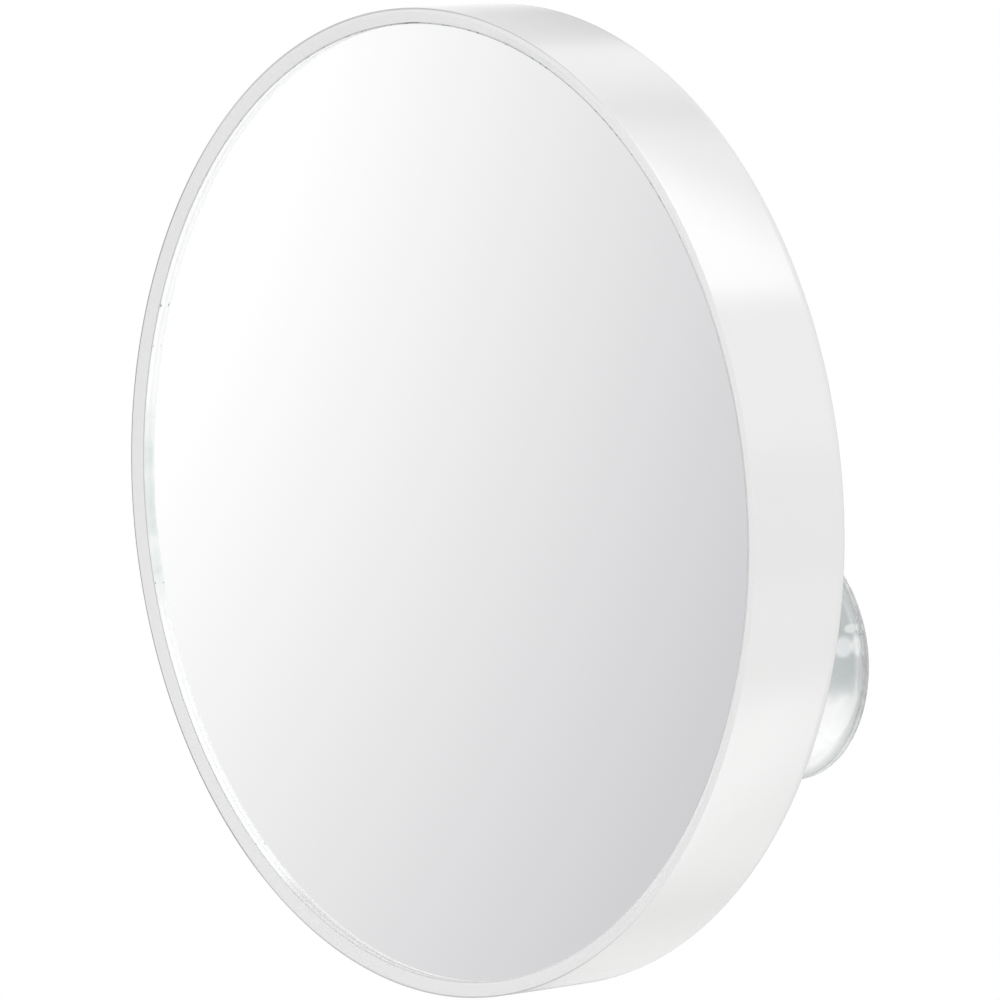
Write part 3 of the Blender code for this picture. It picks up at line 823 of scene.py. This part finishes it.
def silver_material():
    """Chemically deposited silver under glass: a clean, bright and untinted mirror."""
    made, tree = plain_material("deposited_silver")
    shader = add_node(
        tree, PRINCIPLED, {"Base Color": linear(SILVER_HEX), "Metallic": 1.0, "Roughness": 0.0}
    )
    add_node(tree, "ShaderNodeOutputMaterial", {"Surface": shader})
    return made


def paint_material():
    """Sprayed mirror-backing paint: flat grey with a fine speckle."""
    made, tree = plain_material("sprayed_backing_paint")
    place = add_node(tree, "ShaderNodeTexCoord").outputs["Object"]
    speckle = add_node(
        tree, NOISE, {"Vector": place, "Scale": 1 / (PAINT_SPECKLE_MM * MM), "Detail": 3.0}
    )
    tone = laid_over(tree, shaded(PAINT_HEX, PAINT_SHADE), [(speckle, PAINT_HEX)])
    bump = add_node(tree, BUMP, {"Height": speckle, "Strength": PAINT_BUMP, "Distance": PAINT_DEPTH})
    shader = add_node(tree, PRINCIPLED, {"Base Color": tone, "Roughness": 0.6, "Normal": bump})
    add_node(tree, "ShaderNodeOutputMaterial", {"Surface": shader})
    return made


section, painted_bands = silver_profile()
silver = new_piece(
    "silver_coat",
    [turned_shell(section, TURNED_SEGMENTS, False, centre=(0, -GLASS_DROP), slots=painted_bands)],
    [silver_material(), paint_material()],
    "mirror",
    sharp_deg=25,
)


# Back cover
# A white ABS disc with a finely eroded, satin face, snapped into the housing by a bead on six
# springy fingers. Three keyholes take the cups' heads, and a wall round each guides the head.
COVER_RADIUS = 48.2 * MM
COVER_REAR_DEPTH = 12 * MM
COVER_INNER_DEPTH = 10.2 * MM
COVER_ROUND = 0.3 * MM
FINGER_THICKNESS = 1.2 * MM
FINGER_FRONT_DEPTH = 5.93 * MM
FINGER_COUNT = 6
FINGER_GAP = 3 * MM
FINGER_STATIONS = 40
BEAD_PROUD = 0.4 * MM
BEAD_DEPTHS = np.array([6.95, 7.35, 8.75, 9.15]) * MM
CUP_COUNT = 3
CUP_CIRCLE_RADIUS = 33 * MM
KEYHOLE_TRAVEL = 7.5 * MM
ENTRY_RADIUS = 4.7 * MM
SLOT_HALF_WIDTH = 2.9 * MM
KEYHOLE_ROUND = 0.3 * MM
POCKET_INNER_RADIUS = 5.0 * MM
POCKET_OUTER_RADIUS = 6.2 * MM
POCKET_FRONT_DEPTH = 7.2 * MM
GATE_RADIUS = 2.6 * MM
GATE_SUNK = 0.16 * MM
GATE_SEGMENTS = 48
FLAT_MARGIN = 0.25 * MM
SHELL_OVERLAP = 0.1 * MM
KEYHOLE_STEPS = 24
ABS_GRAIN_MM = 0.22
COVER_ROUGHNESS = 0.32
COVER_PEEL_BUMP = 0.2


def cup_places():
    """Name and centre (x, z) of each cup, clockwise from the top as seen from the front."""
    sides = ("top", "right", "left")
    turns = [math.tau * i / CUP_COUNT for i in range(CUP_COUNT)]
    return [
        (side, (CUP_CIRCLE_RADIUS * math.sin(turn), CUP_CIRCLE_RADIUS * math.cos(turn)))
        for side, turn in zip(sides, turns)
    ]


def keyhole_outline(centre, grow):
    """Keyhole as (x, z) points: a round-topped slot over a larger round hole, grown by a margin."""
    slot, entry = SLOT_HALF_WIDTH + grow, ENTRY_RADIUS + grow
    meeting = math.degrees(math.acos(slot / entry))
    low = (centre[0], centre[1] - KEYHOLE_TRAVEL)
    top = arc(centre, slot, 0, 180, KEYHOLE_STEPS)
    return np.concatenate([top, arc(low, entry, 180 - meeting, 360 + meeting, 2 * KEYHOLE_STEPS)])


def pocket_outline(centre, radius):
    """Round-ended outline at one distance from the line between the keyhole's two centres."""
    low = (centre[0], centre[1] - KEYHOLE_TRAVEL)
    top = arc(centre, radius, 0, 180, KEYHOLE_STEPS)
    return np.concatenate([top, arc(low, radius, 180, 360, 2 * KEYHOLE_STEPS)])


def circle_outline(radius, count):
    """Points of a circle round the mirror's axis."""
    turns = np.linspace(0, math.tau, count, endpoint=False)
    return np.stack([radius * np.sin(turns), radius * np.cos(turns)], axis=1)


def carried_band(outlines, depths, close=False):
    """Faces between like outlines (x, z), each laid at its own depth, one after the other."""
    grid = np.stack(
        [
            np.stack([outline[:, 0], np.full(len(outline), HOUSING_FRONT + depth), outline[:, 1]], axis=1)
            for outline, depth in zip(outlines, depths)
        ]
    )
    number = np.arange(grid.shape[0] * grid.shape[1]).reshape(grid.shape[:2])
    if close:
        number = np.concatenate([number, number[:1]])
    return grid.reshape(-1, 3), band_faces(number)


def flat_sheet(border, holes, depth):
    """Triangles of a flat sheet inside a border and outside its holes, all (x, z) outlines.

    The outlines are triangulated together, and a triangle is kept when its middle lies in none
    of the holes, by counting how often a ray from it crosses each hole's outline.
    """
    outlines = [border, *holes]
    corners = np.concatenate(outlines)
    ends = np.cumsum([len(o) for o in outlines])
    loops = [list(range(end - len(o), end)) for o, end in zip(outlines, ends)]
    made, _, faces, *_ = delaunay_2d_cdt([Vector(c) for c in corners], [], loops, 1, 1e-9)
    made, faces = np.array(made), np.array(faces)
    middles = made[faces].mean(axis=1)
    kept = np.ones(len(faces), bool)
    for hole in holes:
        start, end = hole, np.roll(hole, -1, 0)
        above = (start[None, :, 1] > middles[:, 1:]) != (end[None, :, 1] > middles[:, 1:])
        rise = np.where(end[:, 1] == start[:, 1], 1, end[:, 1] - start[:, 1])
        meets = start[:, 0] + (middles[:, 1:] - start[:, 1]) * (end[:, 0] - start[:, 0]) / rise
        kept &= (above & (middles[:, :1] < meets)).sum(axis=1) % 2 == 0
    points = np.stack([made[:, 0], np.full(len(made), HOUSING_FRONT + depth), made[:, 1]], axis=1)
    return points, faces[kept].tolist()


def welded(parts):
    """One shell from parts whose borders meet: points closer than a micron become one, and
    neighbouring faces are turned the same way round."""
    points = np.concatenate([p for p, _ in parts])
    starts = np.cumsum([0] + [len(p) for p, _ in parts])
    faces = [[c + start for c in f] for (_, fs), start in zip(parts, starts) for f in fs]
    microns = np.round(points / (MM / 1000))
    _, first, where = np.unique(microns, axis=0, return_index=True, return_inverse=True)
    where = where.ravel()
    mesh = bpy.data.meshes.new("welded")
    mesh.from_pydata(points[first].tolist(), [], [[int(where[c]) for c in f] for f in faces])
    shape = bmesh.new()
    shape.from_mesh(mesh)
    bmesh.ops.recalc_face_normals(shape, faces=shape.faces[:])
    joined = [[v.index for v in f.verts] for f in shape.faces]
    shape.free()
    bpy.data.meshes.remove(mesh)
    return points[first], joined, [0] * len(joined)


def cover_disc():
    """The disc: flat rear and inner sheets, a rounded outer edge, rounded keyholes and the gate.

    The gate lies in a dimple as deep as the squared cosine of its radius, a quarter turn at its edge.
    """
    rear, inner = COVER_REAR_DEPTH, COVER_INNER_DEPTH
    rim = COVER_RADIUS - COVER_ROUND - FLAT_MARGIN
    edge = arc((COVER_RADIUS - COVER_ROUND, rear - COVER_ROUND), COVER_ROUND, 90, 0, 6)
    edge = np.concatenate([[(rim, rear)], edge, [(COVER_RADIUS, inner), (rim, inner)]])
    parts = [carried_band([circle_outline(r, TURNED_SEGMENTS) for r, _ in edge], edge[:, 1])]
    holes, inner_holes = [], []
    corner = arc((KEYHOLE_ROUND, rear - KEYHOLE_ROUND), KEYHOLE_ROUND, 90, 180, 6)
    wall = np.concatenate(
        [[(KEYHOLE_ROUND + FLAT_MARGIN, rear)], corner, [(0, inner), (FLAT_MARGIN, inner)]]
    )
    for _, centre in cup_places():
        parts.append(carried_band([keyhole_outline(centre, grow) for grow, _ in wall], wall[:, 1]))
        holes.append(keyhole_outline(centre, wall[0, 0]))
        inner_holes.append(keyhole_outline(centre, wall[-1, 0]))
    radii = np.concatenate([[GATE_RADIUS + FLAT_MARGIN], np.linspace(GATE_RADIUS, GATE_RADIUS / 8, 10)])
    sunk = GATE_SUNK * np.cos(radii.clip(0, GATE_RADIUS) / GATE_RADIUS * math.pi / 2) ** 2
    gate = np.stack([radii, rear - sunk], axis=1)
    gate_outlines = [circle_outline(r, GATE_SEGMENTS) for r, _ in gate]
    parts.append(carried_band(gate_outlines, gate[:, 1]))
    parts.append(flat_sheet(gate_outlines[-1], [], gate[-1, 1]))
    holes.append(gate_outlines[0])
    parts.append(flat_sheet(circle_outline(rim, TURNED_SEGMENTS), holes, rear))
    parts.append(flat_sheet(circle_outline(rim, TURNED_SEGMENTS), inner_holes, inner))
    return welded(parts)


def cover_finger(place):
    """One springy finger: the snap section carried along its share of the circle, ends closed."""
    inner = COVER_RADIUS - FINGER_THICKNESS
    section = np.array(
        [
            (inner, COVER_INNER_DEPTH + SHELL_OVERLAP),
            (inner, FINGER_FRONT_DEPTH),
            (COVER_RADIUS, FINGER_FRONT_DEPTH),
            (COVER_RADIUS, BEAD_DEPTHS[0]),
            (COVER_RADIUS + BEAD_PROUD, BEAD_DEPTHS[1]),
            (COVER_RADIUS + BEAD_PROUD, BEAD_DEPTHS[2]),
            (COVER_RADIUS, BEAD_DEPTHS[3]),
            (COVER_RADIUS, COVER_INNER_DEPTH + SHELL_OVERLAP),
        ]
    )
    share = math.tau / FINGER_COUNT
    gap = math.asin(FINGER_GAP / 2 / COVER_RADIUS)
    turns = np.linspace(place * share + gap, (place + 1) * share - gap, FINGER_STATIONS)[:, None]
    radius, depth = section[:, 0], section[:, 1]
    grid = np.stack(
        [radius * np.sin(turns), HOUSING_FRONT + depth + 0 * turns, radius * np.cos(turns)], axis=2
    )
    number = np.arange(grid.shape[0] * grid.shape[1]).reshape(grid.shape[:2])
    faces = band_faces(number) + [number[0][::-1].tolist(), number[-1].tolist()]
    return grid.reshape(-1, 3), faces, [0] * len(faces)


def head_pocket(centre):
    """The wall round a keyhole, inside the cover: a band between two round-ended outlines."""
    inner, outer = (pocket_outline(centre, r) for r in (POCKET_INNER_RADIUS, POCKET_OUTER_RADIUS))
    base, front = COVER_INNER_DEPTH + SHELL_OVERLAP, POCKET_FRONT_DEPTH
    points, faces = carried_band([inner, outer, outer, inner], [base, base, front, front], close=True)
    return points, faces, [0] * len(faces)


satin_abs = moulded_abs("eroded_moulded_abs", COVER_ROUGHNESS, COVER_PEEL_BUMP, grain_mm=ABS_GRAIN_MM)
cover_shells = [cover_disc()]
cover_shells += [cover_finger(i) for i in range(FINGER_COUNT)]
cover_shells += [head_pocket(centre) for _, centre in cup_places()]
cover = new_piece("snap_in_cover", cover_shells, [satin_abs], "mirror", sharp_deg=30)
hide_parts("back_cover")


# Suction cups
# Three cups moulded in soft clear PVC, each with a mushroom head that is pushed through a
# keyhole of the cover and slid up into its slot. The PVC is thick; the grey-green of its edges and
# upper part is painted shade, and a glow low down and in two spots is painted light.
CUP_RADIUS = 12.5 * MM
CUP_LIP_THICKNESS = 0.9 * MM
CUP_LIP_ROUND = 0.2 * MM
CUP_LIP_FLAT = 1.6 * MM
CUP_HOLLOW_DEPTH = 3.4 * MM
CUP_DOME_HEIGHT = 6.4 * MM
CUP_COLLAR_RADIUS = 4.9 * MM
CUP_COLLAR_TOP = 9.7 * MM
CUP_COLLAR_ROUND = 0.4 * MM
CUP_NECK_RADIUS = 2.6 * MM
CUP_NECK_ROUND = 0.25 * MM
CUP_HEAD_BASE = 12.1 * MM
CUP_HEAD_RADIUS = 4.4 * MM
CUP_HEAD_HEIGHT = 3.4 * MM
CUP_HEAD_RIM = 0.9 * MM
CUP_HEAD_ROUND = 0.2 * MM
CUP_DOME_PULLS = ((0.32, 0.31), (0.53, 0.85))
CUP_STATIONS = 28
CUP_SEGMENTS = 128
PVC_HEX = "#FDFEFE"
# Painted shade: the grey-green laid on the upper part and outer edge of each cup.
PVC_SHADE_HEX = "#BBC2C3"
PVC_IOR = 1.53
PVC_ROUGHNESS = 0.03
PVC_CLARITY = 0.8
PVC_COVER = 0.75
# Painted light: a glow in the lowest part of each cup and in its two painted highlights.
PVC_GLOW = 0.11
PVC_GLOW_FOOT_MM = (-4.5, -8.5)
PVC_SHADE_FOOT_MM = (-4.8, -1.8)
PVC_SKIRT_MM = (11.6, 12.2)
PVC_SKIRT_SHADES = (0.55, 0.12)
PVC_SKIRT_FOOT_MM = (-6, -2)
PVC_FLOW_MM = 4

# Painted highlights, clear of the painted shade: X and Z of the middle from the cup's own, and half widths,
# in mm
PVC_HIGHLIGHTS_MM = ((10.95, 1.2, 0.75, 1.15), (11.4, 3.0, 0.55, 0.5))
PVC_HIGHLIGHT_START, PVC_HIGHLIGHT_END = 0.6, 1.2
PVC_PATCH = 5 * MM
PVC_BUMP, PVC_DEPTH = 0.25, 0.06 * MM


def cup_profile():
    """Half section of a cup as (radius, height over the wall), from its hollow to its head."""
    lip_edge = CUP_RADIUS - CUP_LIP_ROUND
    hollow_radius = CUP_RADIUS - CUP_LIP_FLAT
    rise = CUP_DOME_HEIGHT - CUP_LIP_THICKNESS
    run = lip_edge - CUP_COLLAR_RADIUS
    hollow = bezier(
        (0, CUP_HOLLOW_DEPTH),
        (hollow_radius / 2, CUP_HOLLOW_DEPTH),
        (hollow_radius - CUP_LIP_FLAT, CUP_LIP_THICKNESS),
        (hollow_radius, 0),
        CUP_STATIONS,
    )
    lip_foot = arc((lip_edge, CUP_LIP_ROUND), CUP_LIP_ROUND, -90, 0, 6)
    lip_top = arc((lip_edge, CUP_LIP_THICKNESS - CUP_LIP_ROUND), CUP_LIP_ROUND, 0, 90, 6)
    pulls = [(lip_edge - run * inwards, CUP_LIP_THICKNESS + rise * up) for inwards, up in CUP_DOME_PULLS]
    dome = bezier(
        (lip_edge, CUP_LIP_THICKNESS), *pulls, (CUP_COLLAR_RADIUS, CUP_DOME_HEIGHT), CUP_STATIONS
    )
    collar = arc(
        (CUP_COLLAR_RADIUS - CUP_COLLAR_ROUND, CUP_COLLAR_TOP - CUP_COLLAR_ROUND), CUP_COLLAR_ROUND, 0, 90, 6
    )
    root = arc(
        (CUP_NECK_RADIUS + CUP_NECK_ROUND, CUP_COLLAR_TOP + CUP_NECK_ROUND), CUP_NECK_ROUND, 270, 180, 5
    )
    top = arc(
        (CUP_NECK_RADIUS + CUP_NECK_ROUND, CUP_HEAD_BASE - CUP_NECK_ROUND), CUP_NECK_ROUND, 180, 90, 5
    )
    under = arc(
        (CUP_HEAD_RADIUS - CUP_HEAD_ROUND, CUP_HEAD_BASE + CUP_HEAD_ROUND), CUP_HEAD_ROUND, -90, 0, 5
    )
    cap = arc((0, 0), 1, 0, 90, 16) * (CUP_HEAD_RADIUS, CUP_HEAD_HEIGHT - CUP_HEAD_RIM)
    cap = cap + (0, CUP_HEAD_BASE + CUP_HEAD_RIM)
    cap[-1, 0] = 0
    profile = np.concatenate([hollow, lip_foot, lip_top, dome[1:], collar, root, top, under, cap])
    return profile * (1, -1)


def pvc_material(side, centre):
    """Plasticised PVC, moulded clear: soft shine, and light bent strongly at its edges. Painted
    grey-green shade covers its upper part and its outer edge, the edge more so low down, and
    leaves out two small painted highlights. A painted glow lights its lowest part and the highlights."""
    made, tree = plain_material(f"moulded_clear_pvc_{side}")
    place = add_node(tree, "ShaderNodeTexCoord").outputs["Object"]
    flow = add_node(
        tree,
        NOISE,
        {"Vector": place, "Scale": 1 / (PVC_FLOW_MM * MM), "Detail": 2.0, "Distortion": 0.6},
    )
    middle = (centre[0], 0, centre[1])
    local = add_node(tree, VECTOR_MATH, {0: place, 1: middle}, operation="SUBTRACT")
    level = add_node(tree, "ShaderNodeSeparateXYZ", {0: local}).outputs["Z"]
    height = add_node(tree, MATH, {0: flow, 1: PVC_PATCH, 2: level}, operation="MULTIPLY_ADD")
    foot, top = (mm * MM + PVC_PATCH / 2 for mm in PVC_SHADE_FOOT_MM)
    # Painted shade on the upper part, with a wavy lower edge.
    painted_shade = soft_step(tree, height, foot, top - foot)
    across = add_node(tree, VECTOR_MATH, {0: local, 1: (1, 0, 1)}, operation="MULTIPLY")
    radius = add_node(tree, VECTOR_MATH, {0: across}, operation="LENGTH").outputs["Value"]
    inner, outer = (mm * MM for mm in PVC_SKIRT_MM)
    skirt = soft_step(tree, radius, inner, outer - inner)
    low, high = (mm * MM for mm in PVC_SKIRT_FOOT_MM)
    at_skirt = add_node(
        tree,
        "ShaderNodeMix",
        {0: soft_step(tree, level, low, high - low), 2: PVC_SKIRT_SHADES[0], 3: PVC_SKIRT_SHADES[1]},
        data_type="FLOAT",
    )
    painted_shade = add_node(tree, "ShaderNodeMix", {0: skirt, 2: painted_shade, 3: at_skirt}, data_type="FLOAT")
    start, end = (mm * MM for mm in PVC_GLOW_FOOT_MM)
    bright = soft_step(tree, level, start, end - start)
    # Each painted highlight clears the painted shade and lets the painted glow show.
    for x, z, half_width, half_height in PVC_HIGHLIGHTS_MM:
        away = add_node(tree, VECTOR_MATH, {0: across, 1: (x * MM, 0, z * MM)}, operation="SUBTRACT")
        away = add_node(
            tree,
            VECTOR_MATH,
            {0: away, 1: (1 / (half_width * MM), 0, 1 / (half_height * MM))},
            operation="MULTIPLY",
        )
        away = add_node(tree, VECTOR_MATH, {0: away}, operation="LENGTH").outputs["Value"]
        fade = PVC_HIGHLIGHT_END - PVC_HIGHLIGHT_START
        outside = soft_step(tree, away, PVC_HIGHLIGHT_START, fade)
        within = soft_step(tree, away, PVC_HIGHLIGHT_END, -fade)
        painted_shade = add_node(tree, MATH, {0: painted_shade, 1: outside}, operation="MULTIPLY")
        bright = add_node(tree, MATH, {0: bright, 1: within}, operation="MAXIMUM")
    tone = laid_over(tree, linear(PVC_HEX), [(painted_shade, PVC_SHADE_HEX)])
    glow = add_node(tree, MATH, {0: painted_shade, 1: -PVC_GLOW, 2: PVC_GLOW}, operation="MULTIPLY_ADD")
    glow = add_node(tree, MATH, {0: glow, 1: bright}, operation="MULTIPLY")
    bump = add_node(tree, BUMP, {"Height": flow, "Strength": PVC_BUMP, "Distance": PVC_DEPTH})
    shader = add_node(
        tree,
        PRINCIPLED,
        {
            "Base Color": tone,
            "Roughness": PVC_ROUGHNESS,
            "IOR": PVC_IOR,
            "Transmission Weight": PVC_CLARITY,
            "Alpha": PVC_COVER,
            "Emission Color": tone,
            "Emission Strength": glow,
            "Normal": bump,
        },
    )
    add_node(tree, "ShaderNodeOutputMaterial", {"Surface": shader})
    return made


for side, centre in cup_places():
    cup = new_piece(
        f"clear_cup_{side}",
        [turned_shell(cup_profile(), CUP_SEGMENTS, False, centre=centre)],
        [pvc_material(side, centre)],
        f"cup_{side}",
    )
    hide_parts(f"suction_cup_{side}")
